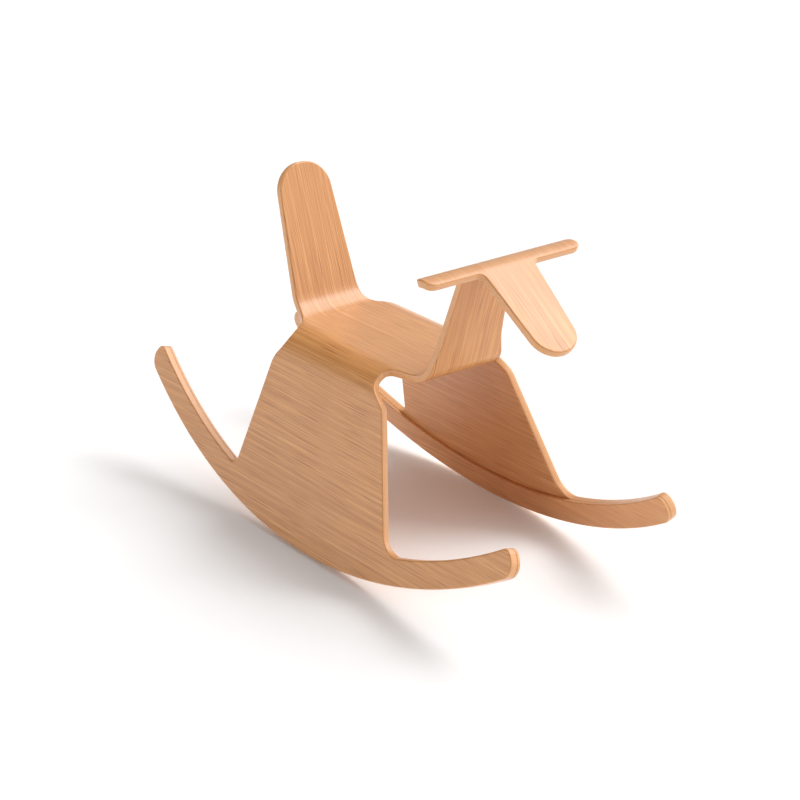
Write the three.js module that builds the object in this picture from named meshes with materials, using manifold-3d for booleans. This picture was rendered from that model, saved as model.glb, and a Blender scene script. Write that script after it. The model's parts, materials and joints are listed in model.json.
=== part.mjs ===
// Child's rocking horse in moulded plywood.
//
// One flat plywood blank, cut to a cross, is bent into backrest, seat, neck, handlebar, head and two
// splayed side panels. A second lamination is glued inside the foot of each side panel, so the rockers
// and their horns are two sheets thick.
//
// Millimetres, +X to the horse's head, +Y to its left, +Z up. The origin is on the floor, under the
// middle of the horse.

import * as THREE from 'three';
import { mergeVertices } from 'three/addons/utils/BufferGeometryUtils.js';
import Module from 'manifold-3d';

const wasm = await Module();
wasm.setup();

const degrees = THREE.MathUtils.degToRad;

// ---- Driving dimensions -------------------------------------------------------------------------

// Places on the flat blank are u, forwards, and v, sideways, from the middle of the seat. Radii of
// bends are those of the upper, outer face.

const PLY = 12; // thickness of the moulded sheet
const ROCKER_PLY = 5.5; // thickness of each inner rocker
const GLUE_LINE = 0.3; // between a side panel and its inner rocker
const REST_TILT = degrees(0.57); // nose-up, so that the centre of mass is over the point of contact

const SEAT_HALF = 69; // centre line to the start of the side bends
const SIDE_BEND_R = 52;
const SPLAY = degrees(14.9); // side panels out of the vertical

const BACK_BEND_AT = 153;
const BACK_BEND_R = 41;
const BACK_LEAN = degrees(18); // backrest out of the vertical
const BACK_TOP = 397;
const BACK_TOP_HALF = 44.4;
const BACK_TOP_R = 46;
const BACK_FOOT = 204;
const BACK_FOOT_HALF = 56.8;
const BACK_FILLET_R = 46; // inside corner between backrest and side panel

const NECK_BEND_AT = 112.3;
const NECK_BEND_R = 25;
const NECK_LEAN = degrees(17.5); // neck out of the vertical, forwards
const NECK_FOOT = 176.5;
const NECK_FOOT_HALF = 56;
const NECK_FOOT_R = 90; // rounding where the neck's side runs out into the seat
const NECK_TOP_HALF = 42.4;

const POLL_BEND_AT = 291.2; // the bend over the top of the neck, which the handlebar lies on
const POLL_BEND_R = 38.5;
const HEAD_FALL = degrees(35.2); // head below the horizontal
const HEAD_TIP = 509.7;
const HEAD_ROOT_HALF = 45.5;
const HEAD_TIP_HALF = 34.8;
const HEAD_TIP_R = 36.8;

const NECK_MIDDLE = 220; // everything beyond this u and nearer the middle than HEAD_CLEAR is head
const HEAD_CLEAR = 180;
const BAR_HALF = 135.3; // centre line to the end of the handlebar
const BAR_REAR = 312.2;
const BAR_FRONT = 359.2;
const BAR_REAR_CORNER_R = 23;
const BAR_FRONT_CORNER_R = 15;
const BAR_NECK_FILLET_R = 10;
const BAR_HEAD_FILLET_R = 11;

const ROCKER_R = 794; // lower edge of the rockers, in the plane of the side panel
const ROCKER_DEPTH = 40;
const ROCKER_FOOT = 397; // v of the lowest point of the lower edge
const HORN_REAR = degrees(36.5); // turn of the rocker behind its lowest point, and ahead of it
const HORN_FRONT = degrees(33.25);
const HORN_UPPER_R = 12; // corners of the horns' ends
const HORN_LOWER_R = 22;

const HIP_U = -163; // rear upper corner of a side panel
const HIP_V = 144;
const HIP_SLOPE = 0.78; // u lost for each v along the edge above the hip
const HIP_R = 50;
const REAR_EDGE_SLOPE = 0.22; // u lost for each v down the rear edge
const CROTCH_R = 16; // foot of the rear edge, against the horn

const SHOULDER_U = 105.3; // top of the front edge
const SHOULDER_V = 142;
const SHOULDER_R = 24;
const FRONT_EDGE_SLOPE = 0.346; // u gained for each v down the front edge
const FRONT_FILLET_R = 32; // foot of the front edge, into the horn

const NOTCH_U = 70; // deepest line of the notch between front edge and neck
const NOTCH_LOWER_V = 116;
const NOTCH_LOWER_R = 26;
const NOTCH_UPPER_V = 84;
const NOTCH_UPPER_R = 14;

const CHORD = 0.1; // furthest that a facet of an outline lies from its arc
const FOLD_STEP = degrees(8); // most that a bend turns in one facet
const FAR = 1000; // beyond every edge of the blank
const WELD = 0.01; // corners of neighbouring facets closer than this are one
const ON_LINE = 0.001; // a corner closer than this to a fold's edge lies on it
const STRAIGHT = 1e-6; // most that a detour over a corner adds to an edge that it lies on

// ---- Outline of the flat blank ------------------------------------------------------------------

const point = (u, v) => new THREE.Vector2(u, v);
const rockerCentre = point(0, ROCKER_FOOT - ROCKER_R);
const rockerTopR = ROCKER_R - ROCKER_DEPTH;

/** Points of the arc about centre that leads from one point to the other the short way. */
function arc(centre, from, to) {
  const start = from.clone().sub(centre);
  const end = to.clone().sub(centre);
  const radius = start.length();
  const sweep = Math.atan2(start.cross(end), start.dot(end));
  const facets = Math.max(2, Math.ceil(Math.abs(sweep) / (2 * Math.acos(1 - CHORD / radius))));
  const first = start.angle();
  const curve = new THREE.EllipseCurve(
    centre.x, centre.y, radius, radius, first, first + sweep, sweep < 0);
  return curve.getPoints(facets);
}

/** Points of an edge through corners of [u, v, radius]. Its two ends have no radius. */
function edge(corners) {
  const points = [];
  corners.forEach(([u, v, radius], i) => {
    const at = point(u, v);
    if (radius === undefined) {
      points.push(at);
      return;
    }
    const back = point(...corners[i - 1]).sub(at).normalize();
    const on = point(...corners[i + 1]).sub(at).normalize();
    const half = Math.acos(back.dot(on)) / 2;
    const centre = back.clone().add(on).setLength(radius / Math.sin(half)).add(at);
    const run = radius / Math.tan(half);
    points.push(...arc(centre, back.multiplyScalar(run).add(at), on.multiplyScalar(run).add(at)));
  });
  return points;
}

/** The point where the line through a along p crosses the line through b along q. */
function crossing(a, p, b, q) {
  const run = b.clone().sub(a).cross(q) / p.cross(q);
  return p.clone().multiplyScalar(run).add(a);
}

/** A point on the circle about the rockers' centre, turned to the front from its lowest point. */
function onRocker(radius, turn) {
  return point(Math.sin(turn), Math.cos(turn)).multiplyScalar(radius).add(rockerCentre);
}

/** Fillet between a side panel's edge, which leads down from at along down, and the rocker's upper
 *  arc. front is 1 where the horn leads forwards and -1 where it leads back. */
function rockerFillet(at, down, radius, front) {
  const outward = point(down.y, -down.x).multiplyScalar(front);
  const start = outward.clone().multiplyScalar(radius).add(at).sub(rockerCentre);
  const reach = rockerTopR - radius;
  const along = start.dot(down);
  const run = Math.sqrt(along * along - start.lengthSq() + reach * reach) - along;
  const centre = down.clone().multiplyScalar(run).add(start).add(rockerCentre);
  const onEdge = outward.clone().multiplyScalar(-radius).add(centre);
  const onArc = centre.clone().sub(rockerCentre).setLength(rockerTopR).add(rockerCentre);
  return arc(centre, onEdge, onArc);
}

/** Rounded end of a horn, from the rocker's upper arc to its lower edge. */
function hornEnd(turn, front) {
  const upperReach = rockerTopR + HORN_UPPER_R;
  const lowerReach = ROCKER_R - HORN_LOWER_R;
  const upperTurn = front * (turn - Math.asin(HORN_UPPER_R / upperReach));
  const lowerTurn = front * (turn - Math.asin(HORN_LOWER_R / lowerReach));
  const upperOnFace = Math.sqrt(upperReach ** 2 - HORN_UPPER_R ** 2);
  const lowerOnFace = Math.sqrt(lowerReach ** 2 - HORN_LOWER_R ** 2);
  return [
    ...arc(onRocker(upperReach, upperTurn), onRocker(rockerTopR, upperTurn),
      onRocker(upperOnFace, front * turn)),
    ...arc(onRocker(lowerReach, lowerTurn), onRocker(lowerOnFace, front * turn),
      onRocker(ROCKER_R, lowerTurn)),
  ];
}

/** Drops points that repeat the one before them. */
function distinct(points) {
  return points.filter((p, i) => i === 0 || p.distanceTo(points[i - 1]) > WELD);
}

const rearHorn = hornEnd(HORN_REAR, -1);
const frontHorn = hornEnd(HORN_FRONT, 1).reverse();
const lowerEdge = arc(rockerCentre, rearHorn.at(-1), frontHorn[0]);

/** Half of the blank's outline, from the top of the backrest round to the tip of the head. */
function halfOutline() {
  const backFoot = point(-BACK_FOOT, BACK_FOOT_HALF);
  const backSide = point(BACK_TOP - BACK_FOOT, BACK_FOOT_HALF - BACK_TOP_HALF);
  const hip = point(HIP_U, HIP_V);
  const backCorner = crossing(backFoot, backSide, hip, point(-HIP_SLOPE, 1));
  const crotch = rockerFillet(hip, point(-REAR_EDGE_SLOPE, 1).normalize(), CROTCH_R, -1);
  const shoulder = point(SHOULDER_U, SHOULDER_V);
  const fork = rockerFillet(shoulder, point(FRONT_EDGE_SLOPE, 1).normalize(), FRONT_FILLET_R, 1);
  const rear = edge([
    [-BACK_TOP, 0],
    [-BACK_TOP, BACK_TOP_HALF, BACK_TOP_R],
    [...backCorner, BACK_FILLET_R],
    [HIP_U, HIP_V, HIP_R],
    [...crotch[0]],
  ]);
  const front = edge([
    [...fork[0]],
    [SHOULDER_U, SHOULDER_V, SHOULDER_R],
    [NOTCH_U, NOTCH_LOWER_V, NOTCH_LOWER_R],
    [NOTCH_U, NOTCH_UPPER_V, NOTCH_UPPER_R],
    [NECK_FOOT, NECK_FOOT_HALF, NECK_FOOT_R],
    [BAR_REAR, NECK_TOP_HALF, BAR_NECK_FILLET_R],
    [BAR_REAR, BAR_HALF, BAR_REAR_CORNER_R],
    [BAR_FRONT, BAR_HALF, BAR_FRONT_CORNER_R],
    [BAR_FRONT, HEAD_ROOT_HALF, BAR_HEAD_FILLET_R],
    [HEAD_TIP, HEAD_TIP_HALF, HEAD_TIP_R],
    [HEAD_TIP, 0],
  ]);
  return distinct([
    ...rear,
    ...crotch,
    ...arc(rockerCentre, crotch.at(-1), rearHorn[0]),
    ...rearHorn,
    ...lowerEdge,
    ...frontHorn,
    ...arc(rockerCentre, frontHorn.at(-1), fork.at(-1)),
    ...fork.reverse(),
    ...front,
  ]);
}

const half = halfOutline();
const otherHalf = half.slice(1, -1).map((p) => point(p.x, -p.y)).reverse();
const blankOutline = [...half, ...otherHalf];
const rockerOutline = distinct([
  ...rearHorn,
  ...lowerEdge,
  ...frontHorn,
  ...arc(rockerCentre, frontHorn.at(-1), rearHorn[0]).slice(0, -1),
]);

/** A plate of a thickness whose lower face lies at the height that floor gives. */
function plate(outline, floor, thickness) {
  const geometry = new THREE.ExtrudeGeometry(
    new THREE.Shape(outline), { depth: thickness, bevelEnabled: false });
  return geometry.translate(0, 0, floor);
}

// ---- Bending ------------------------------------------------------------------------------------

const frontFolds = [
  { at: NECK_BEND_AT, radius: NECK_BEND_R, turn: Math.PI / 2 - NECK_LEAN },
  { at: POLL_BEND_AT, radius: POLL_BEND_R, turn: NECK_LEAN - Math.PI / 2 - HEAD_FALL },
];
const rearFolds = [{ at: BACK_BEND_AT, radius: BACK_BEND_R, turn: Math.PI / 2 - BACK_LEAN }];
const sideTurn = Math.PI / 2 - SPLAY;
const SIDE_FACETS = 2 * Math.ceil(sideTurn / FOLD_STEP / 2);
const sideFacet = SIDE_BEND_R * sideTurn / SIDE_FACETS;
const WING_AT = SEAT_HALF + sideFacet * SIDE_FACETS / 2; // beyond this the sheet is straight along u

/** Where the upper face is, seen from the side, after a length of sheet that turns at its folds. */
function follow(folds, length) {
  const end = { x: 0, z: 0, heading: 0 };
  let done = 0;
  for (const { at, radius, turn } of folds) {
    const straight = Math.min(length, at) - done;
    end.x += straight * Math.cos(end.heading);
    end.z += straight * Math.sin(end.heading);
    if (length <= at) return end;
    const upDown = Math.sign(turn);
    const heading = end.heading + upDown * Math.min((length - at) / radius, Math.abs(turn));
    end.x += upDown * radius * (Math.sin(heading) - Math.sin(end.heading));
    end.z -= upDown * radius * (Math.cos(heading) - Math.cos(end.heading));
    end.heading = heading;
    done = at + radius * Math.abs(turn);
    if (length <= done) return end;
  }
  end.x += (length - done) * Math.cos(end.heading);
  end.z += (length - done) * Math.sin(end.heading);
  return end;
}

/** Where a side of the sheet is, seen from the front, after its bend: out, down and turned. */
function fallAway(beyond) {
  const turned = THREE.MathUtils.clamp(beyond / SIDE_BEND_R, 0, sideTurn);
  const straight = Math.max(beyond - SIDE_BEND_R * sideTurn, 0);
  return {
    out: SIDE_BEND_R * Math.sin(turned) + straight * Math.cos(turned),
    down: SIDE_BEND_R * (1 - Math.cos(turned)) + straight * Math.sin(turned),
    turned,
  };
}

/** Place in the bent sheet of the blank's point (u, v), depth below the upper face. */
function bend(u, v, depth) {
  const side = Math.sign(v);
  const isHead = u > NECK_MIDDLE && Math.abs(v) < HEAD_CLEAR;
  const isWing = Math.abs(v) > WING_AT && !isHead;
  const beyond = isHead ? 0 : Math.max(Math.abs(v) - SEAT_HALF, 0);
  const { out, down, turned } = fallAway(beyond);
  const folds = u < 0 ? rearFolds : frontFolds;
  const { x, z, heading } = follow(isWing ? [] : folds, Math.abs(u));
  const inward = down + depth * Math.cos(turned);
  const along = x + inward * Math.sin(heading);
  return new THREE.Vector3(
    u < 0 ? -along : along,
    v - side * beyond + side * (out - depth * Math.sin(turned)),
    z - inward * Math.cos(heading),
  );
}

/** The u of every facet's edge in one fold, on the side of the seat that side shows. */
function foldLines({ at, radius, turn }, side) {
  const facets = Math.ceil(Math.abs(turn) / FOLD_STEP);
  const facet = radius * Math.abs(turn) / facets;
  return Array.from({ length: facets + 1 }, (_, i) => side * (at + i * facet));
}

const uLines = [
  -FAR,
  ...rearFolds.flatMap((fold) => foldLines(fold, -1).reverse()),
  ...frontFolds.flatMap((fold) => foldLines(fold, 1)),
  FAR,
];
const sideLines = Array.from({ length: SIDE_FACETS + 1 }, (_, i) => SEAT_HALF + i * sideFacet);
const nearLines = sideLines.slice(0, SIDE_FACETS / 2 + 1);
const wingLines = [...sideLines.slice(SIDE_FACETS / 2), FAR];
const mirrored = (lines) => lines.map((line) => -line).reverse();

/** A solid of a closed geometry. */
function solid(geometry) {
  geometry.deleteAttribute('normal');
  geometry.deleteAttribute('uv');
  const merged = mergeVertices(geometry);
  return new wasm.Manifold(new wasm.Mesh({
    numProp: 3,
    vertProperties: new Float32Array(merged.getAttribute('position').array),
    triVerts: new Uint32Array(merged.index.array),
  }));
}

/** Triangles of the blank between four lines, as [u, v, depth], without the faces cut along them. */
function cell(blank, u0, u1, v0, v1) {
  const box = new THREE.BoxGeometry(u1 - u0, v1 - v0, FAR);
  box.translate((u0 + u1) / 2, (v0 + v1) / 2, 0);
  const { numProp, vertProperties, triVerts } = blank.intersect(solid(box)).getMesh();
  const corner = (i) => Array.from(vertProperties.slice(i * numProp, i * numProp + 3));
  const triangles = [];
  for (let i = 0; i < triVerts.length; i += 3) {
    const triangle = Array.from(triVerts.slice(i, i + 3), corner);
    const cut = [[0, u0], [0, u1], [1, v0], [1, v1]].some(([axis, line]) => (
      triangle.every((place) => Math.abs(place[axis] - line) < ON_LINE)));
    if (!cut) triangles.push(triangle);
  }
  return triangles;
}

/** Triangles of every cell between neighbouring lines. */
function cells(blank, us, vs) {
  const triangles = [];
  for (let i = 1; i < us.length; i += 1) {
    for (let j = 1; j < vs.length; j += 1) {
      triangles.push(...cell(blank, us[i - 1], us[i], vs[j - 1], vs[j]));
    }
  }
  return triangles;
}

/** The triangle of three corners, split wherever another corner lies on one of its edges. */
function split(corners, [a, b, c], edgesDone = 0) {
  if (edgesDone === 3) return [[a, b, c]];
  const from = corners[a];
  const to = corners[b];
  const length = from.distanceTo(to);
  const between = corners.findIndex((corner, i) => (
    i !== a && i !== b && from.distanceTo(corner) + to.distanceTo(corner) - length < STRAIGHT));
  if (between < 0) return split(corners, [b, c, a], edgesDone + 1);
  return [...split(corners, [a, between, c]), ...split(corners, [between, b, c])];
}

/** One closed geometry of triangles that meet, edge on edge. */
function welded(triangles) {
  const corners = [];
  const joined = triangles.map((triangle) => triangle.map((place) => {
    const known = corners.findIndex((corner) => corner.distanceTo(place) < WELD);
    return known < 0 ? corners.push(place) - 1 : known;
  }));
  const geometry = new THREE.BufferGeometry().setFromPoints(corners);
  geometry.setIndex(joined.flatMap((triangle) => split(corners, triangle)).flat());
  return geometry;
}

/** The cross-shaped blank, bent to the horse. */
function shellGeometry() {
  const blank = solid(plate(blankOutline, -PLY, PLY));
  const barLines = [NECK_MIDDLE, ...uLines.filter((line) => line > NECK_MIDDLE)];
  const triangles = [
    [uLines, [...mirrored(nearLines), ...nearLines]],
    [[-FAR, NECK_MIDDLE], wingLines],
    [[-FAR, NECK_MIDDLE], mirrored(wingLines)],
    [[NECK_MIDDLE, FAR], [HEAD_CLEAR, FAR]],
    [[NECK_MIDDLE, FAR], [-FAR, -HEAD_CLEAR]],
    [barLines, [WING_AT, HEAD_CLEAR]],
    [barLines, [-HEAD_CLEAR, -WING_AT]],
  ].flatMap(([us, vs]) => cells(blank, us, vs));
  return welded(triangles.map((triangle) => triangle.map(([u, v, w]) => bend(u, v, -w))));
}

// ---- Assembly -----------------------------------------------------------------------------------

const veneer = () => new THREE.MeshStandardMaterial({ color: 0xd3a274, roughness: 0.5, metalness: 0 });

/** A rocker's inner lamination, behind the side panel that side shows: 1 left, -1 right. */
function innerRocker(side) {
  const below = PLY + GLUE_LINE;
  const floor = side > 0 ? -below - ROCKER_PLY : below;
  const rocker = new THREE.Mesh(plate(rockerOutline, floor, ROCKER_PLY), veneer());
  const bendLength = SIDE_BEND_R * sideTurn;
  const { out, down } = fallAway(bendLength);
  const flat = SEAT_HALF + bendLength;
  rocker.rotation.x = side > 0 ? -sideTurn : sideTurn - Math.PI;
  rocker.position.set(
    0,
    side * (SEAT_HALF + out - flat * Math.cos(sideTurn)),
    flat * Math.sin(sideTurn) - down,
  );
  rocker.name = side > 0 ? 'inner_rocker_left' : 'inner_rocker_right';
  return rocker;
}

const shell = new THREE.Mesh(shellGeometry(), veneer());
shell.name = 'moulded_shell';

const horse = new THREE.Group();
horse.add(shell, innerRocker(1), innerRocker(-1));
horse.rotation.y = -REST_TILT;

const extent = new THREE.Box3().setFromObject(horse, true);
horse.position.set(-(extent.min.x + extent.max.x) / 2, 0, -extent.min.z);

export default horse;
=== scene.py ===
"""Looks of a child's rocking horse in moulded plywood.

The horse is one cross-shaped plywood blank, rounded over at its rim and bent into backrest, seat,
neck, handlebar, head and two splayed side panels, with a second lamination glued inside each
foot. Sizes are in metres. Places on a flat blank are u, forwards, and v, sideways, from the
middle of the seat, and depth below the blank's upper, outer face.
"""

import json
import logging
import math
from dataclasses import dataclass, field
from enum import Enum
from typing import Callable

import bpy
import numpy as np
from mathutils import Matrix, Vector
from mathutils.kdtree import KDTree


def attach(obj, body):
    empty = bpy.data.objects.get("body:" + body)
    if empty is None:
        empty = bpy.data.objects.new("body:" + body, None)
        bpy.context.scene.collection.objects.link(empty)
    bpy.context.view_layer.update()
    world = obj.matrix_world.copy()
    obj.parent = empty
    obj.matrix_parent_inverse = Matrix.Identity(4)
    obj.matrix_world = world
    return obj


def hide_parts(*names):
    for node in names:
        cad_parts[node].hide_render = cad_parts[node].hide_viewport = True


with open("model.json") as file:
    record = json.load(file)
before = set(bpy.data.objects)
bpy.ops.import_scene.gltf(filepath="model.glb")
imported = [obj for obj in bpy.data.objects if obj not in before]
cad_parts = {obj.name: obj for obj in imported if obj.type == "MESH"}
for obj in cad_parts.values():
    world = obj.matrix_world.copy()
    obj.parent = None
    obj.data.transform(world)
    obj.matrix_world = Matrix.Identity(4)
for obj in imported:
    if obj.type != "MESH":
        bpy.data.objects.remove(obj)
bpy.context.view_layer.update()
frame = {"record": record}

log = logging.getLogger("rocking_horse")

SHEET = "sheet"  # attribute that keeps each point's place on the flat blank
SAME_POINT = 0.00001  # points closer than this are one point
SHELL_PLY = 0.012  # thickness of the bent shell
FLATS_WEIGHT = 60  # how far flats outweigh bends and rounding in a piece's shading

Colour = tuple[float, float, float, float]
Stretch = tuple[float, float, float]
Share = Callable[[np.ndarray], np.ndarray]

WHITE: Colour = (1, 1, 1, 1)

MIX_INPUTS = (0, 6, 7)  # factor and both colours of a Mix node that mixes colours
MIX_RESULT = 2


class Side(Enum):
    """A side of the horse, and its direction along Y."""

    LEFT = 1
    RIGHT = -1


class Way(Enum):
    """A way across a flat blank, and its direction."""

    FORWARDS = (1, 0, 0)
    SIDEWAYS = (0, 1, 0)


class Part(Enum):
    """Part of a mesh that can be picked on the bench."""

    VERTEX = "VERT"
    EDGE = "EDGE"
    FACE = "FACE"


# ---- Outline ------------------------------------------------------------------------------------


def arc(centre: Vector, start: Vector, end: Vector, chord: float = 0.00003) -> list[Vector]:
    """Points of a circular arc, the short way round.

    Args:
        centre: Middle of the circle.
        start: First point of the arc.
        end: Last point of the arc.
        chord: Furthest that a straight piece lies from the arc.

    Returns:
        The arc's points, both ends included.
    """
    spoke = start - centre
    radius = spoke.length
    sweep = (end - centre).angle_signed(spoke)
    pieces = max(2, math.ceil(abs(sweep) / (2 * math.acos(1 - chord / radius))))
    first = math.atan2(spoke.y, spoke.x)
    turns = [first + sweep * i / pieces for i in range(pieces + 1)]
    return [centre + radius * Vector((math.cos(t), math.sin(t))) for t in turns]


def rounded(corners: list[tuple[float, ...]]) -> list[Vector]:
    """Points of an edge that runs straight between rounded corners.

    Args:
        corners: A (u, v, radius) for each corner, and a (u, v) for each end.

    Returns:
        The edge's points, in the order of its corners.
    """
    points = []
    for i, corner in enumerate(corners):
        at = Vector(corner[:2])
        if len(corner) == 2:
            points.append(at)
            continue
        back = (Vector(corners[i - 1][:2]) - at).normalized()
        onward = (Vector(corners[i + 1][:2]) - at).normalized()
        half = math.acos(back.dot(onward)) / 2
        centre = at + (back + onward).normalized() * corner[2] / math.sin(half)
        run = corner[2] / math.tan(half)
        points += arc(centre, at + back * run, at + onward * run)
    return points


def crossing(a: Vector, p: Vector, b: Vector, q: Vector) -> Vector:
    """Point where the line through a along p crosses the line through b along q."""
    return a + p * ((b - a).cross(q) / p.cross(q))


def distinct(points: list[Vector]) -> list[Vector]:
    """Drops points that repeat the one before them.

    Args:
        points: Points in order.

    Returns:
        The points that are left, in order.
    """
    kept = [points[0]]
    for point in points[1:]:
        if (point - kept[-1]).length > SAME_POINT:
            kept.append(point)
    return kept


@dataclass
class Rocker:
    """The curved foot of a side panel, with a horn at each end."""

    radius: float = 0.794
    depth: float = 0.040
    foot: float = 0.397
    rear_turn: float = math.radians(36.5)
    front_turn: float = math.radians(33.25)
    upper_corner: float = 0.012
    lower_corner: float = 0.022

    @property
    def centre(self) -> Vector:
        """Centre that both edges of the rocker are struck from."""
        return Vector((0, self.foot - self.radius))

    @property
    def top_radius(self) -> float:
        """Radius of the rocker's upper edge."""
        return self.radius - self.depth

    def at(self, radius: float, turn: float) -> Vector:
        """Point at a radius from the centre, turned to the front from the lowest point."""
        return self.centre + radius * Vector((math.sin(turn), math.cos(turn)))

    def horn_end(self, turn: float, front: int) -> list[Vector]:
        """Rounded end of a horn.

        Args:
            turn: Angle from the lowest point to the horn's end.
            front: 1 for the front horn and -1 for the rear one.

        Returns:
            Points from the rocker's upper edge to its lower edge.
        """
        upper = self.top_radius + self.upper_corner
        lower = self.radius - self.lower_corner
        upper_turn = front * (turn - math.asin(self.upper_corner / upper))
        lower_turn = front * (turn - math.asin(self.lower_corner / lower))
        upper_face = math.sqrt(upper**2 - self.upper_corner**2)
        lower_face = math.sqrt(lower**2 - self.lower_corner**2)
        return arc(
            self.at(upper, upper_turn),
            self.at(self.top_radius, upper_turn),
            self.at(upper_face, front * turn),
        ) + arc(
            self.at(lower, lower_turn),
            self.at(lower_face, front * turn),
            self.at(self.radius, lower_turn),
        )

    def fillet(self, at: Vector, down: Vector, radius: float, front: int) -> list[Vector]:
        """Fillet between an edge of the side panel and the rocker's upper edge.

        Args:
            at: A point on the panel's edge.
            down: Direction of the panel's edge, down to the rocker.
            radius: Radius of the fillet.
            front: 1 on the front edge and -1 on the rear one.

        Returns:
            Points from the panel's edge to the rocker's upper edge.
        """
        outward = Vector((down.y, -down.x)) * front
        start = at + outward * radius - self.centre
        reach = self.top_radius - radius
        along = start.dot(down)
        run = math.sqrt(along**2 - start.length_squared + reach**2) - along
        centre = self.centre + start + down * run
        on_arc = self.centre + (centre - self.centre).normalized() * self.top_radius
        return arc(centre, centre - outward * radius, on_arc)

    def outline(self) -> list[Vector]:
        """Draws a whole rocker from horn to horn.

        Returns:
            Points round the rocker.
        """
        rear = self.horn_end(self.rear_turn, -1)
        front = self.horn_end(self.front_turn, 1)[::-1]
        lower = arc(self.centre, rear[-1], front[0])
        upper = arc(self.centre, front[-1], rear[0])[:-1]
        return distinct(rear + lower + front + upper)

    def above(self, rows: np.ndarray) -> np.ndarray:
        """How far rows of (u, v, ...) lie above the rocker's upper edge, negative below it."""
        middle_u, middle_v = self.centre
        return self.top_radius - np.hypot(rows[:, 0] - middle_u, np.abs(rows[:, 1]) - middle_v)


@dataclass
class Blank:
    """The flat cross that the horse is bent from, as one half that is mirrored in v = 0."""

    rocker: Rocker = field(default_factory=Rocker)
    back_top: float = 0.397
    back_top_half: float = 0.0444
    back_top_corner: float = 0.046
    back_foot: float = 0.204
    back_foot_half: float = 0.0568
    back_fillet: float = 0.046
    hip: tuple[float, float] = (-0.163, 0.144)
    hip_corner: float = 0.050
    hip_slope: float = 0.78  # rearwards for each metre down, above the hip
    rear_slope: float = 0.22  # the same below the hip
    crotch: float = 0.016
    shoulder: tuple[float, float, float] = (0.1053, 0.142, 0.024)
    front_slope: float = 0.346  # forwards for each metre down, below the shoulder
    fork: float = 0.032
    notch_lower: tuple[float, float, float] = (0.070, 0.116, 0.026)
    notch_upper: tuple[float, float, float] = (0.070, 0.084, 0.014)
    neck_foot: tuple[float, float, float] = (0.1765, 0.0560, 0.090)
    neck_top_half: float = 0.0424
    bar_half: float = 0.1353
    bar_rear: float = 0.3122
    bar_front: float = 0.3592
    bar_rear_corner: float = 0.023
    bar_front_corner: float = 0.015
    bar_neck_fillet: float = 0.010
    bar_head_fillet: float = 0.011
    head_root_half: float = 0.0455
    head_tip: float = 0.5097
    head_tip_half: float = 0.0348
    head_tip_corner: float = 0.0368

    def rear_edge(self) -> list[Vector]:
        """Draws the edge from the top of the backrest to the rear crotch.

        Returns:
            Points from the middle of the backrest's top to the rocker's upper edge.
        """
        side = Vector((self.back_top - self.back_foot, self.back_foot_half - self.back_top_half))
        hip = Vector(self.hip)
        corner = crossing(
            Vector((-self.back_foot, self.back_foot_half)), side, hip, Vector((-self.hip_slope, 1))
        )
        down = Vector((-self.rear_slope, 1)).normalized()
        crotch = self.rocker.fillet(hip, down, self.crotch, -1)
        edge = rounded([
            (-self.back_top, 0),
            (-self.back_top, self.back_top_half, self.back_top_corner),
            (*corner, self.back_fillet),
            (*hip, self.hip_corner),
            (*crotch[0],),
        ])
        return edge + crotch

    def front_edge(self) -> list[Vector]:
        """Draws the edge from the fork at the front horn to the tip of the head.

        Returns:
            Points from the rocker's upper edge to the middle of the head's tip.
        """
        down = Vector((self.front_slope, 1)).normalized()
        fork = self.rocker.fillet(Vector(self.shoulder[:2]), down, self.fork, 1)
        edge = rounded([
            (*fork[0],),
            self.shoulder,
            self.notch_lower,
            self.notch_upper,
            self.neck_foot,
            (self.bar_rear, self.neck_top_half, self.bar_neck_fillet),
            (self.bar_rear, self.bar_half, self.bar_rear_corner),
            (self.bar_front, self.bar_half, self.bar_front_corner),
            (self.bar_front, self.head_root_half, self.bar_head_fillet),
            (self.head_tip, self.head_tip_half, self.head_tip_corner),
            (self.head_tip, 0),
        ])
        return fork[::-1] + edge

    def outline(self) -> list[Vector]:
        """Draws the whole blank.

        Returns:
            Points round the blank.
        """
        rocker = self.rocker
        rear_edge = self.rear_edge()
        front_edge = self.front_edge()
        rear_horn = rocker.horn_end(rocker.rear_turn, -1)
        front_horn = rocker.horn_end(rocker.front_turn, 1)[::-1]
        half = distinct(
            rear_edge
            + arc(rocker.centre, rear_edge[-1], rear_horn[0])
            + rear_horn
            + arc(rocker.centre, rear_horn[-1], front_horn[0])
            + front_horn
            + arc(rocker.centre, front_horn[-1], front_edge[0])
            + front_edge
        )
        return half + [Vector((p.x, -p.y)) for p in half[-2:0:-1]]


# ---- Bending ------------------------------------------------------------------------------------


@dataclass(frozen=True)
class Fold:
    """A bend of the sheet about a line across it."""

    at: float
    radius: float
    turn: float

    @property
    def end(self) -> float:
        """Length along the sheet where the bend ends."""
        return self.at + self.radius * abs(self.turn)

    def lines(self, step: float) -> list[float]:
        """Places along the sheet to score the bend at.

        Args:
            step: Most that the sheet turns from line to line.

        Returns:
            Lengths along the sheet, from the start of the bend to its end.
        """
        pieces = math.ceil(abs(self.turn) / step)
        return [self.at + (self.end - self.at) * i / pieces for i in range(pieces + 1)]


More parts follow.
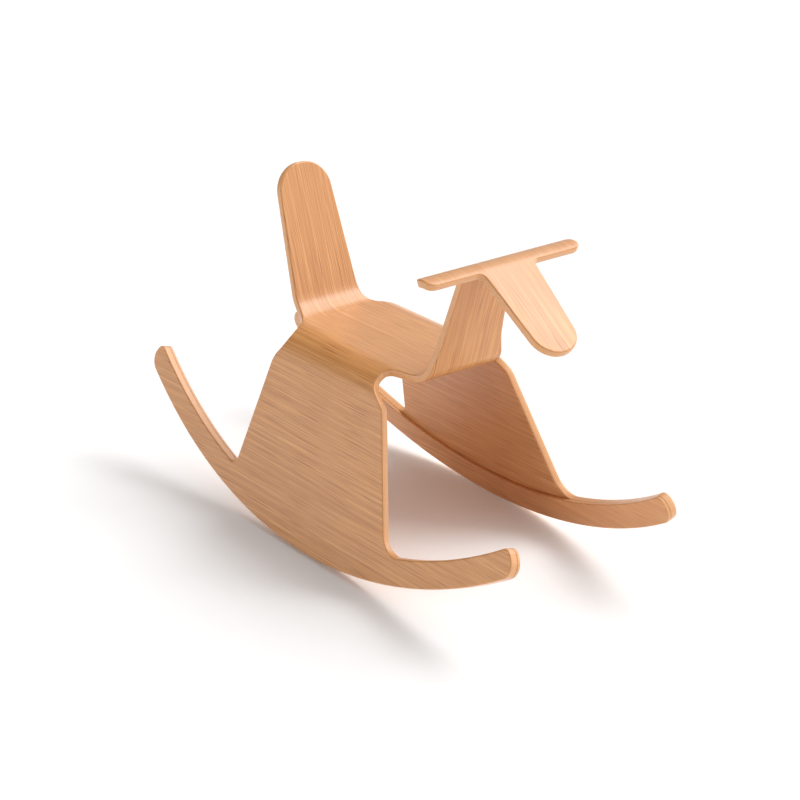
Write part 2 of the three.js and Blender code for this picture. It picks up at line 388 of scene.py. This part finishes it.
@dataclass
class Form:
    """The press form that the blank is bent over: folds along its middle and at both sides."""

    seat_half: float = 0.069
    side_radius: float = 0.052
    splay: float = math.radians(14.9)
    back: tuple[Fold, ...] = (Fold(0.153, 0.041, math.radians(72)),)
    front: tuple[Fold, ...] = (
        Fold(0.1123, 0.025, math.radians(72.5)),
        Fold(0.2912, 0.0385, math.radians(-107.7)),
    )
    neck_middle: float = 0.220  # part way up the neck, clear of both side panels
    head_clear: float = 0.180  # further sideways than the handlebar reaches

    @property
    def side_turn(self) -> float:
        """Angle that a side panel is bent down from the seat."""
        return math.pi / 2 - self.splay

    @property
    def side_end(self) -> float:
        """Distance from the middle of the seat, along the sheet, where a side bend ends."""
        return self.seat_half + self.side_radius * self.side_turn

    def on_head(self, u: np.ndarray, v: np.ndarray) -> np.ndarray:
        """Which places belong to the neck's top, handlebar and head."""
        return (u > self.neck_middle) & (np.abs(v) < self.head_clear)

    def follow(self, folds: tuple[Fold, ...], length: np.ndarray) -> tuple[np.ndarray, ...]:
        """Course of the upper face, seen from the side.

        Args:
            folds: Folds that the sheet meets, in order.
            length: Lengths of sheet, from the middle of the seat.

        Returns:
            Forward place, height and heading after each length.
        """
        x = np.zeros_like(length)
        z = np.zeros_like(length)
        heading = np.zeros_like(length)
        done = 0.0
        for fold in folds:
            straight = np.clip(length, done, fold.at) - done
            x += straight * np.cos(heading)
            z += straight * np.sin(heading)
            way = math.copysign(1, fold.turn)
            turned = heading + way * np.clip((length - fold.at) / fold.radius, 0, abs(fold.turn))
            x += way * fold.radius * (np.sin(turned) - np.sin(heading))
            z -= way * fold.radius * (np.cos(turned) - np.cos(heading))
            heading = turned
            done = fold.end
        straight = np.maximum(length - done, 0)
        return x + straight * np.cos(heading), z + straight * np.sin(heading), heading

    def bend(self, flat: np.ndarray) -> np.ndarray:
        """Places in the bent sheet, from the middle of the seat.

        Args:
            flat: Rows of (u, v, depth) on the blank.

        Returns:
            Rows of (x, y, z).
        """
        u, v, depth = flat.T
        side = np.sign(v)
        head = self.on_head(u, v)
        beyond = np.where(head, 0, np.maximum(np.abs(v) - self.seat_half, 0))
        turned = np.clip(beyond / self.side_radius, 0, self.side_turn)
        straight = np.maximum(beyond - self.side_radius * self.side_turn, 0)
        out = self.side_radius * np.sin(turned) + straight * np.cos(turned)
        down = self.side_radius * (1 - np.cos(turned)) + straight * np.sin(turned)
        wing = (beyond > self.side_radius * self.side_turn / 2) & ~head
        back = np.stack(self.follow(self.back, np.abs(u)))
        front = np.stack(self.follow(self.front, np.abs(u)))
        level = np.stack([np.abs(u), np.zeros_like(u), np.zeros_like(u)])
        x, z, heading = np.where(wing, level, np.where(u < 0, back, front))
        inward = down + depth * np.cos(turned)
        along = x + inward * np.sin(heading)
        return np.stack([
            np.where(u < 0, -along, along),
            v - side * beyond + side * (out - depth * np.sin(turned)),
            z - inward * np.cos(heading),
        ], axis=1)

    def fold_lines(self, step: float) -> list[float]:
        """The u of the lines to score across the middle of the blank.

        Args:
            step: Most that the sheet turns from line to line.

        Returns:
            Every line, rear to front.
        """
        back = [-line for fold in self.back for line in fold.lines(step)]
        front = [line for fold in self.front for line in fold.lines(step)]
        return sorted(back + front)

    def side_lines(self, step: float) -> list[float]:
        """Distances from the middle of the blank to the lines to score along a side bend."""
        return Fold(self.seat_half, self.side_radius, self.side_turn).lines(step)


# ---- Bench --------------------------------------------------------------------------------------


def deselect_all() -> None:
    """Leaves nothing selected, in object mode."""
    if bpy.context.object and bpy.context.object.mode != "OBJECT":
        bpy.ops.object.mode_set(mode="OBJECT")
    bpy.ops.object.select_all(action="DESELECT")


def pick(piece: bpy.types.Object, part: Part, chosen: np.ndarray) -> None:
    """Selects some vertices, edges or faces of a piece, then opens it in edit mode.

    Args:
        piece: The piece, which is the active object.
        part: What is selected.
        chosen: One truth value for each vertex, edge or face.
    """
    bpy.ops.object.mode_set(mode="EDIT")
    bpy.ops.mesh.select_mode(type=part.value)
    bpy.ops.mesh.select_all(action="DESELECT")
    bpy.ops.object.mode_set(mode="OBJECT")
    items = {
        Part.VERTEX: piece.data.vertices,
        Part.EDGE: piece.data.edges,
        Part.FACE: piece.data.polygons,
    }
    items[part].foreach_set("select", chosen)
    bpy.ops.object.mode_set(mode="EDIT")


def read_rows(items: bpy.types.bpy_prop_collection, field_name: str) -> np.ndarray:
    """Reads a vector field of a mesh.

    Args:
        items: The mesh's vertices or faces.
        field_name: Name of the field.

    Returns:
        Rows of (x, y, z).
    """
    rows = np.zeros(len(items) * 3, np.float32)
    items.foreach_get(field_name, rows)
    return rows.reshape(-1, 3).astype(float)


def places(piece: bpy.types.Object) -> np.ndarray:
    """Rows of (x, y, z) of a piece's vertices."""
    return read_rows(piece.data.vertices, "co")


def middles(piece: bpy.types.Object) -> np.ndarray:
    """Rows of (x, y, z) of the middles of a piece's faces."""
    return read_rows(piece.data.polygons, "center")


def move_to(piece: bpy.types.Object, rows: np.ndarray) -> None:
    """Moves a piece's vertices to rows of (x, y, z)."""
    piece.data.vertices.foreach_set("co", rows.astype(np.float32).ravel())
    piece.data.update()


@dataclass
class Plate:
    """A flat sheet of plywood, sawn to an outline and rounded over round its rim."""

    name: str
    outline: list[Vector]
    ply: float
    rounding: float
    rounding_steps: int = 4

    def saw(self) -> bpy.types.Object:
        """Saws the plate out.

        Returns:
            The plate, with its upper face at z = 0.
        """
        deselect_all()
        bpy.ops.mesh.primitive_circle_add(
            vertices=len(self.outline), fill_type="NGON", location=(0, 0, 0)
        )
        piece = bpy.context.object
        piece.name = self.name
        piece.data.name = self.name
        ring = [piece.data.loops[i].vertex_index for i in piece.data.polygons[0].loop_indices]
        points = self.outline
        if sum(a.cross(b) for a, b in zip(points, points[1:] + points[:1])) < 0:
            points = points[::-1]
        for index, point in zip(ring, points):
            piece.data.vertices[index].co = (point.x, point.y, 0)
        pick(piece, Part.FACE, np.ones(1, bool))
        bpy.ops.mesh.extrude_region_move(TRANSFORM_OT_translate={"value": (0, 0, -self.ply)})
        bpy.ops.mesh.select_all(action="SELECT")
        bpy.ops.mesh.normals_make_consistent(inside=False)
        bpy.ops.object.mode_set(mode="OBJECT")
        return piece

    def round_over(self, piece: bpy.types.Object, share: Share) -> None:
        """Rounds the rim's two arrises over.

        Args:
            piece: The plate as sawn.
            share: Gives, for rows of (u, v, z), how much of the full rounding an arris there gets.
        """
        rim = places(piece)
        ends = np.zeros(len(piece.data.edges) * 2, np.int32)
        piece.data.edges.foreach_get("vertices", ends)
        height = rim[ends.reshape(-1, 2), 2]
        pick(piece, Part.EDGE, np.abs(height[:, 0] - height[:, 1]) < self.ply / 2)
        bpy.ops.mesh.bevel(
            offset=self.rounding, segments=self.rounding_steps, profile=0.5, clamp_overlap=False
        )
        bpy.ops.object.mode_set(mode="OBJECT")
        tree = KDTree(len(rim))
        for i, corner in enumerate(rim):
            tree.insert(corner, i)
        tree.balance()
        at = places(piece)
        face = [0 if z > -self.ply / 2 else -self.ply for z in at[:, 2]]
        near = rim[[tree.find((x, y, z))[1] for (x, y, _), z in zip(at, face)]]
        move_to(piece, near + (at - near) * share(near)[:, None])

    def score(self, piece: bpy.types.Object, way: Way, line: float, chosen: np.ndarray) -> None:
        """Cuts the faces of a plate along a straight line, without parting them.

        Args:
            piece: The plate.
            way: Way that the line is measured off, and square to.
            line: How far that way the line lies.
            chosen: Which faces are cut.
        """
        pick(piece, Part.FACE, chosen)
        square = Vector(way.value)
        bpy.ops.mesh.bisect(plane_co=square * line, plane_no=square)
        bpy.ops.object.mode_set(mode="OBJECT")

    def keep_flat(self, piece: bpy.types.Object) -> np.ndarray:
        """Writes each vertex's place on the flat blank to the piece, for its grain.

        Args:
            piece: The plate, still flat.

        Returns:
            Rows of (u, v, depth).
        """
        flat = places(piece) * (1, 1, -1)
        layer = piece.data.attributes.new(SHEET, "FLOAT_VECTOR", "POINT")
        layer.data.foreach_set("vector", flat.astype(np.float32).ravel())
        return flat


def smooth(piece: bpy.types.Object) -> None:
    """Smooths a piece's bends and rounding, and keeps its flats flat.

    Args:
        piece: The bent piece.
    """
    deselect_all()
    piece.select_set(True)
    bpy.context.view_layer.objects.active = piece
    bpy.ops.object.shade_smooth()
    weighted = piece.modifiers.new("flats", "WEIGHTED_NORMAL")
    weighted.mode = "FACE_AREA"
    weighted.weight = FLATS_WEIGHT
    bpy.ops.object.modifier_apply(modifier=weighted.name)


# ---- Finish -------------------------------------------------------------------------------------


@dataclass
class Wiring:
    """Short hand for adding and joining the nodes of a material or of the sky."""

    tree: bpy.types.NodeTree

    def node(self, kind: str, **settings: object) -> bpy.types.Node:
        """Adds a node.

        Args:
            kind: Type of the node.
            settings: Its settings, by name.

        Returns:
            The node.
        """
        node = self.tree.nodes.new(kind)
        for name, value in settings.items():
            setattr(node, name, value)
        return node

    def feed(self, socket: bpy.types.NodeSocket, value: object) -> None:
        """Joins an output to a socket, or sets the socket to a plain value.

        Args:
            socket: The input socket.
            value: An output socket, or a plain value.
        """
        if isinstance(value, bpy.types.NodeSocket):
            self.tree.links.new(value, socket)
        else:
            socket.default_value = value

    def maths(self, operation: str, *values: object) -> bpy.types.NodeSocket:
        """Adds a Math node.

        Args:
            operation: What it works out.
            values: Its inputs, in order.

        Returns:
            The result.
        """
        node = self.node("ShaderNodeMath", operation=operation)
        for socket, value in zip(node.inputs, values):
            self.feed(socket, value)
        return node.outputs[0]

    def vector(self, operation: str, a: object, b: object) -> bpy.types.NodeSocket:
        """Adds a Vector Math node.

        Args:
            operation: What it works out.
            a: First vector.
            b: Second vector.

        Returns:
            The resulting vector.
        """
        node = self.node("ShaderNodeVectorMath", operation=operation)
        self.feed(node.inputs[0], a)
        self.feed(node.inputs[1], b)
        return node.outputs[0]

    def noise(
        self, place: object, stretch: Stretch, detail: float, rough: float = 0.5
    ) -> bpy.types.NodeSocket:
        """Noise stretched along the grain.

        Args:
            place: Where on the sheet.
            stretch: Cells per metre along u, v and depth.
            detail: Octaves of finer noise.
            rough: Strength of each finer octave.

        Returns:
            A value about a half.
        """
        node = self.node("ShaderNodeTexNoise", noise_dimensions="3D")
        self.feed(node.inputs["Vector"], self.vector("MULTIPLY", place, stretch))
        node.inputs["Scale"].default_value = 1.0
        node.inputs["Detail"].default_value = detail
        node.inputs["Roughness"].default_value = rough
        return node.outputs["Fac"]

    def ramp(
        self, value: object, low: float, high: float, bottom: float = 0.0, top: float = 1.0
    ) -> bpy.types.NodeSocket:
        """A value stretched smoothly to a new range, with its ends held.

        Args:
            value: The value.
            low: Value that gives the bottom.
            high: Value that gives the top.
            bottom: Lowest result.
            top: Highest result.

        Returns:
            The stretched value.
        """
        node = self.node("ShaderNodeMapRange", interpolation_type="SMOOTHSTEP")
        node.inputs["From Min"].default_value = low
        node.inputs["From Max"].default_value = high
        node.inputs["To Min"].default_value = bottom
        node.inputs["To Max"].default_value = top
        self.feed(node.inputs["Value"], value)
        return node.outputs[0]

    def mix(self, factor: object, a: object, b: object) -> bpy.types.NodeSocket:
        """Mixes two colours.

        Args:
            factor: Share of the second colour.
            a: First colour.
            b: Second colour.

        Returns:
            The mixed colour.
        """
        node = self.node("ShaderNodeMix", data_type="RGBA")
        for socket, value in zip(MIX_INPUTS, (factor, a, b)):
            self.feed(node.inputs[socket], value)
        return node.outputs[MIX_RESULT]


@dataclass(frozen=True)
class Figure:
    """One part of the grain's figure: noise drawn out along the grain."""

    stretch: Stretch
    detail: float
    rough: float = 0.5

    def on(self, wiring: Wiring, place: bpy.types.NodeSocket) -> bpy.types.NodeSocket:
        """Value of the figure at a place on the sheet."""
        return wiring.noise(place, self.stretch, self.detail, self.rough)


@dataclass(frozen=True)
class Grain:
    """Values of every part of the grain's figure at a place on the sheet."""

    cloud: bpy.types.NodeSocket
    band: bpy.types.NodeSocket
    streak: bpy.types.NodeSocket
    fibre: bpy.types.NodeSocket
    pore: bpy.types.NodeSocket


@dataclass(frozen=True)
class OakVeneer:
    """Clear-lacquered oak veneer over thin plies, as seen on faces and sawn rims."""

    name: str
    ply: float
    shift: tuple[float, float, float] = (0, 0, 0)
    light: Colour = (0.82, 0.410, 0.152, 1)
    middle: Colour = (0.69, 0.310, 0.098, 1)
    dark: Colour = (0.50, 0.190, 0.046, 1)
    pore: Colour = (0.36, 0.105, 0.020, 1)
    core_light: Colour = (0.80, 0.42, 0.185, 1)
    core_dark: Colour = (0.58, 0.260, 0.105, 1)
    face_veneer: float = 0.0007  # thickness of the veneer
    veneer_edge: float = 0.0001  # half of the blur where veneer meets core
    core_ply: float = 0.0012  # thickness of each ply of the core
    sway: Figure = Figure((1.2, 4.0, 1.0), 1.0)
    sway_width: float = 0.012
    clouds: Figure = Figure((1.0, 11.0, 1.0), 2.0)
    bands: Figure = Figure((0.8, 120.0, 1.0), 3.0, 0.6)
    streaks: Figure = Figure((3.0, 760.0, 1.0), 3.0, 0.65)
    fibres: Figure = Figure((9.0, 900.0, 1.0), 2.0)
    pores: Figure = Figure((11.0, 1000.0, 1.0), 1.0)
    specks: Figure = Figure((420.0, 420.0, 900.0), 2.0)
    wear: Figure = Figure((14.0, 22.0, 20.0), 3.0)
    roughness: float = 0.44
    specular: float = 0.25
    ior: float = 1.5
    coat: float = 0.9
    coat_roughness: float = 0.30
    fibre_relief: float = 0.35
    relief_strength: float = 0.35
    relief_depth: float = 0.00012

    def grain(self, wiring: Wiring, place: bpy.types.NodeSocket) -> Grain:
        """Draws the grain's figure, which sways a little from side to side.

        Args:
            wiring: The material's wiring.
            place: Where on the sheet.

        Returns:
            Values of the figure's parts.
        """
        sway = wiring.maths("SUBTRACT", self.sway.on(wiring, place), 0.5)
        offset = wiring.node("ShaderNodeCombineXYZ")
        wiring.feed(offset.inputs["Y"], wiring.maths("MULTIPLY", sway, self.sway_width))
        swayed = wiring.vector("ADD", place, offset.outputs[0])
        return Grain(
            cloud=self.clouds.on(wiring, swayed),
            band=self.bands.on(wiring, swayed),
            streak=self.streaks.on(wiring, swayed),
            fibre=self.fibres.on(wiring, swayed),
            pore=self.pores.on(wiring, swayed),
        )

    def face(self, wiring: Wiring, grain: Grain) -> bpy.types.NodeSocket:
        """Colour of the face veneer.

        Args:
            wiring: The material's wiring.
            grain: The grain's figure.

        Returns:
            The colour.
        """
        tone = wiring.mix(wiring.ramp(grain.band, 0.38, 0.62), self.middle, self.light)
        tone = wiring.mix(wiring.ramp(grain.streak, 0.38, 0.62, 0.0, 0.80), tone, self.dark)
        tone = wiring.mix(wiring.ramp(grain.cloud, 0.35, 0.70, 0.0, 0.22), tone, self.dark)
        tone = wiring.mix(wiring.ramp(grain.fibre, 0.35, 0.70, 0.0, 0.22), tone, self.light)
        early_wood = wiring.ramp(grain.band, 0.45, 0.60, 0.35, 0.9)
        open_pores = wiring.ramp(grain.pore, 0.54, 0.66)
        return wiring.mix(wiring.maths("MULTIPLY", open_pores, early_wood), tone, self.pore)

    def rim(
        self,
        wiring: Wiring,
        place: bpy.types.NodeSocket,
        depth: bpy.types.NodeSocket,
        grain: Grain,
    ) -> bpy.types.NodeSocket:
        """Colour of the core's plies, in turn end grain and long grain, where they are sawn.

        Args:
            wiring: The material's wiring.
            place: Where on the sheet.
            depth: How far below the sheet's upper face.
            grain: The grain's figure.

        Returns:
            The colour.
        """
        turns = wiring.maths("DIVIDE", depth, 2 * self.core_ply)
        cross_ply = wiring.ramp(wiring.maths("PINGPONG", turns, 0.5), 0.20, 0.30)
        speck = wiring.ramp(self.specks.on(wiring, place), 0.40, 0.70)
        streak = wiring.ramp(grain.streak, 0.40, 0.75, 0.0, 0.5)
        end_grain = wiring.mix(speck, self.core_dark, self.middle)
        long_grain = wiring.mix(streak, self.core_light, self.middle)
        return wiring.mix(cross_ply, long_grain, end_grain)

    def gloss(
        self, wiring: Wiring, place: bpy.types.NodeSocket, grain: Grain
    ) -> bpy.types.NodeSocket:
        """Roughness, which varies with wear and is higher in open pores.

        Args:
            wiring: The material's wiring.
            place: Where on the sheet.
            grain: The grain's figure.

        Returns:
            The roughness.
        """
        worn = wiring.ramp(self.wear.on(wiring, place), 0.30, 0.70, -0.05, 0.06)
        in_pores = wiring.ramp(grain.pore, 0.55, 0.70, 0.0, 0.12)
        return wiring.maths("ADD", wiring.maths("ADD", worn, self.roughness), in_pores)

    def relief(self, wiring: Wiring, grain: Grain) -> bpy.types.NodeSocket:
        """Normal over raised fibres and open pores.

        Args:
            wiring: The material's wiring.
            grain: The grain's figure.

        Returns:
            The normal.
        """
        fibres = wiring.maths("MULTIPLY", grain.fibre, self.fibre_relief)
        pores = wiring.ramp(grain.pore, 0.55, 0.68)
        bump = wiring.node("ShaderNodeBump")
        bump.inputs["Strength"].default_value = self.relief_strength
        bump.inputs["Distance"].default_value = self.relief_depth
        wiring.feed(bump.inputs["Height"], wiring.maths("SUBTRACT", fibres, pores))
        return bump.outputs[0]

    def material(self) -> bpy.types.Material:
        """Makes the finish.

        Returns:
            A material that reads each point's place on the flat blank.
        """
        material = bpy.data.materials.new(self.name)
        material.use_nodes = True
        wiring = Wiring(material.node_tree)
        shader = material.node_tree.nodes["Principled BSDF"]
        sheet = wiring.node("ShaderNodeAttribute", attribute_name=SHEET).outputs["Vector"]
        place = wiring.vector("ADD", sheet, self.shift)
        parts = wiring.node("ShaderNodeSeparateXYZ")
        wiring.feed(parts.inputs[0], sheet)
        depth = parts.outputs["Z"]
        half = self.ply / 2
        inner = half - self.face_veneer
        from_middle = wiring.maths("ABSOLUTE", wiring.maths("SUBTRACT", depth, half))
        in_veneer = wiring.ramp(from_middle, inner - self.veneer_edge, inner + self.veneer_edge)
        grain = self.grain(wiring, place)
        rim = self.rim(wiring, place, depth, grain)
        face = self.face(wiring, grain)
        wiring.feed(shader.inputs["Base Color"], wiring.mix(in_veneer, rim, face))
        wiring.feed(shader.inputs["Roughness"], self.gloss(wiring, place, grain))
        wiring.feed(shader.inputs["Normal"], self.relief(wiring, grain))
        shader.inputs["IOR"].default_value = self.ior
        shader.inputs["Specular IOR Level"].default_value = self.specular
        shader.inputs["Coat Weight"].default_value = self.coat
        shader.inputs["Coat Roughness"].default_value = self.coat_roughness
        return material


# ---- Pieces -------------------------------------------------------------------------------------


@dataclass
class Place:
    """Where the middle of the seat's upper face is, and how far the horse leans back at rest."""

    seat: Vector
    tilt: float

    @classmethod
    def of_seat(cls, record: dict) -> "Place":
        """Reads the place from the seat's mount.

        Args:
            record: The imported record.

        Returns:
            The place of the seat.
        """
        mount = next(m for m in record["mounts"] if m["name"] == "seat_face")
        return cls(Vector(mount["pos_m"]), math.atan2(-mount["axis"][0], mount["axis"][2]))

    def settle(self, local: np.ndarray) -> np.ndarray:
        """Moves rows of (x, y, z) from the middle of the seat to their place over the floor."""
        turn = np.array(Matrix.Rotation(-self.tilt, 3, "Y"))
        return local @ turn.T + np.array(self.seat)


@dataclass
class MouldedShell:
    """The continuous bent sheet: backrest, seat, neck, handlebar, head and both side panels."""

    place: Place
    blank: Blank = field(default_factory=Blank)
    form: Form = field(default_factory=Form)
    fold_step: float = math.radians(3)
    ply: float = SHELL_PLY
    rounding: float = 0.0032
    ease: float = 0.012  # way above a rocker in which the rounding grows to its full size
    glued_share: float = 0.08  # share of the rounding on an arris that is glued

    def score(self, plate: Plate, piece: bpy.types.Object) -> None:
        """Scores the blank wherever it bends.

        Args:
            plate: The plate that the blank is sawn from.
            piece: The blank, still flat.
        """
        form = self.form
        for line in (form.seat_half, -form.seat_half):
            plate.score(piece, Way.SIDEWAYS, line, np.ones(len(piece.data.polygons), bool))
        on_spine = np.abs(middles(piece)[:, 1]) < form.seat_half
        plate.score(piece, Way.FORWARDS, form.neck_middle, on_spine)
        for off_middle in form.side_lines(self.fold_step)[1:]:
            for line in (off_middle, -off_middle):
                u, v, _ = middles(piece).T
                on_wing = (np.abs(v) > form.seat_half) & (v * line > 0) & ~form.on_head(u, v)
                plate.score(piece, Way.SIDEWAYS, line, on_wing)
        for line in form.fold_lines(self.fold_step):
            u, v, _ = middles(piece).T
            on_spine = (np.abs(v) < form.seat_half) | form.on_head(u, v)
            plate.score(piece, Way.FORWARDS, line, on_spine)

    def rounding_share(self, rows: np.ndarray) -> np.ndarray:
        """Share of the full rounding: next to none where an inner rocker is glued on."""
        free = np.clip(self.blank.rocker.above(rows) / self.ease, 0, 1)
        return np.where(rows[:, 2] < -self.ply / 2, np.maximum(free, self.glued_share), 1.0)

    def build(self) -> bpy.types.Object:
        """Saws, rounds, scores and bends the blank.

        Returns:
            The bent shell, in its place.
        """
        plate = Plate("moulded_plywood_shell", self.blank.outline(), self.ply, self.rounding)
        piece = plate.saw()
        plate.round_over(piece, self.rounding_share)
        self.score(plate, piece)
        flat = plate.keep_flat(piece)
        move_to(piece, self.place.settle(self.form.bend(flat)))
        smooth(piece)
        return piece

    def dress(self, piece: bpy.types.Object) -> None:
        """Gives the shell its veneer and its place in the frame.

        Args:
            piece: The shell.
        """
        finish = OakVeneer("face_veneer", self.ply)
        piece.data.materials.append(finish.material())
        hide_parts("moulded_shell")
        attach(piece, "root")


@dataclass
class InnerRocker:
    """A second lamination, glued inside the foot of one side panel."""

    place: Place
    side: Side
    rocker: Rocker = field(default_factory=Rocker)
    form: Form = field(default_factory=Form)
    glue_line: float = 0.0003
    ply: float = 0.0055
    rounding: float = 0.0020
    glued_share: float = 0.12  # share of the rounding on the glued arris

    @property
    def label(self) -> str:
        """Name of the lamination's side."""
        return self.side.name.lower()

    @property
    def cut_from(self) -> tuple[float, float, float]:
        """Where its veneer is cut from, so that no two laminations have the same grain."""
        return (2.3 + self.side.value, 0.7, 0)

    def rounding_share(self, rows: np.ndarray) -> np.ndarray:
        """Share of the full rounding: next to none against the side panel."""
        return np.where(rows[:, 2] > -self.ply / 2, self.glued_share, 1.0)

    def build(self) -> bpy.types.Object:
        """Saws and rounds the lamination and lays it against its side panel.

        Returns:
            The lamination, in its place.
        """
        name = f"inner_rocker_lamination_{self.label}"
        plate = Plate(name, self.rocker.outline(), self.ply, self.rounding)
        piece = plate.saw()
        plate.round_over(piece, self.rounding_share)
        flat = plate.keep_flat(piece)
        below = flat + (0, 0, SHELL_PLY + self.glue_line)
        below[:, 1] *= self.side.value
        move_to(piece, self.place.settle(self.form.bend(below)))
        if self.side is Side.RIGHT:
            piece.data.flip_normals()
            piece.data.update()
        smooth(piece)
        return piece

    def dress(self, piece: bpy.types.Object) -> None:
        """Gives the lamination its veneer and its place in the frame.

        Args:
            piece: The lamination.
        """
        finish = OakVeneer(f"rocker_veneer_{self.label}", self.ply, self.cut_from)
        piece.data.materials.append(finish.material())
        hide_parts(f"inner_rocker_{self.label}")
        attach(piece, "root")


# ---- Studio -------------------------------------------------------------------------------------


@dataclass(frozen=True)
class SoftLight:
    """A broad, distant light that fills an angle of the studio."""

    name: str
    towards: tuple[float, float, float]
    strength: float
    angle: float

    def hang(self) -> None:
        """Hangs the light in its direction, facing the horse."""
        data = bpy.data.lights.new(self.name, "SUN")
        data.energy = self.strength
        data.angle = self.angle
        light = bpy.data.objects.new(self.name, data)
        bpy.context.scene.collection.objects.link(light)
        light.rotation_euler = Vector(self.towards).to_track_quat("Z", "Y").to_euler()


@dataclass
class Studio:
    """Pale floor, soft lights and the camera."""

    target: Vector = field(default_factory=lambda: Vector((0.0132, -0.0040, 0.1994)))
    azimuth: float = math.radians(52.57)
    elevation: float = math.radians(23.16)
    away: float = 3.62
    lens: float = 110.5
    sensor: float = 36.0
    sees_to: float = 50.0
    floor_size: float = 14.0
    floor_colour: Colour = (0.90, 0.90, 0.90, 1)
    floor_roughness: float = 0.9
    floor_glow: float = 0.05
    window: Vector = field(default_factory=lambda: Vector((0.45, 0.85, 0.25)))
    dimmest: float = -0.2  # cosine of the turn from the window where the sky is dimmest
    brightest: float = 1.0  # the same where it is brightest
    near_sky: float = 0.12
    far_sky: float = 1.65
    lights: tuple[SoftLight, ...] = (
        SoftLight("front_softbox", (0.34, 0.56, 0.75), 0.95, math.radians(26)),
        SoftLight("rear_softbox", (-0.10, 0.56, 0.82), 0.85, math.radians(30)),
        SoftLight("side_fill", (-0.35, -0.90, 0.14), 1.35, math.radians(50)),
    )

    def camera(self) -> None:
        """Sets the camera up."""
        data = bpy.data.cameras.new("camera")
        data.sensor_width = self.sensor
        data.lens = self.lens
        data.clip_end = self.sees_to
        camera = bpy.data.objects.new("camera", data)
        bpy.context.scene.collection.objects.link(camera)
        back = Vector((
            math.sin(self.azimuth) * math.cos(self.elevation),
            -math.cos(self.azimuth) * math.cos(self.elevation),
            math.sin(self.elevation),
        ))
        camera.location = self.target + back * self.away
        camera.rotation_euler = back.to_track_quat("Z", "Y").to_euler()
        bpy.context.scene.camera = camera

    def sky(self) -> None:
        """Sets up a soft sky that is bright towards the window and dim away from it."""
        world = bpy.data.worlds.new("studio")
        bpy.context.scene.world = world
        world.use_nodes = True
        wiring = Wiring(world.node_tree)
        direction = wiring.node("ShaderNodeTexCoord").outputs["Generated"]
        facing = wiring.node("ShaderNodeVectorMath", operation="DOT_PRODUCT")
        wiring.feed(facing.inputs[0], direction)
        wiring.feed(facing.inputs[1], self.window.normalized())
        brightness = wiring.ramp(
            facing.outputs["Value"], self.dimmest, self.brightest, self.near_sky, self.far_sky
        )
        background = world.node_tree.nodes["Background"]
        background.inputs["Color"].default_value = WHITE
        wiring.feed(background.inputs["Strength"], brightness)

    def floor(self) -> None:
        """Lays a pale floor under the horse."""
        deselect_all()
        bpy.ops.mesh.primitive_plane_add(size=self.floor_size, location=(0, 0, 0))
        floor = bpy.context.object
        floor.name = "studio_floor"
        material = bpy.data.materials.new("pale_floor")
        material.use_nodes = True
        shader = material.node_tree.nodes["Principled BSDF"]
        shader.inputs["Base Color"].default_value = self.floor_colour
        shader.inputs["Roughness"].default_value = self.floor_roughness
        shader.inputs["Specular IOR Level"].default_value = 0.0
        shader.inputs["Emission Color"].default_value = WHITE
        shader.inputs["Emission Strength"].default_value = self.floor_glow
        floor.data.materials.append(material)

    def build(self) -> None:
        """Sets up sky, floor, lights and camera."""
        self.sky()
        bpy.context.scene.view_settings.view_transform = "Standard"
        self.floor()
        for light in self.lights:
            light.hang()
        self.camera()


def main() -> None:
    """Builds the studio and the horse, piece by piece."""
    logging.basicConfig(level=logging.INFO, format="%(name)s: %(message)s")
    Studio().build()
    log.info("studio ready")
    place = Place.of_seat(frame["record"])
    pieces = [MouldedShell(place)] + [InnerRocker(place, side) for side in Side]
    for maker in pieces:
        piece = maker.build()
        maker.dress(piece)
        log.info("%s: %d faces", piece.name, len(piece.data.polygons))


if __name__ == "__main__":
    main()
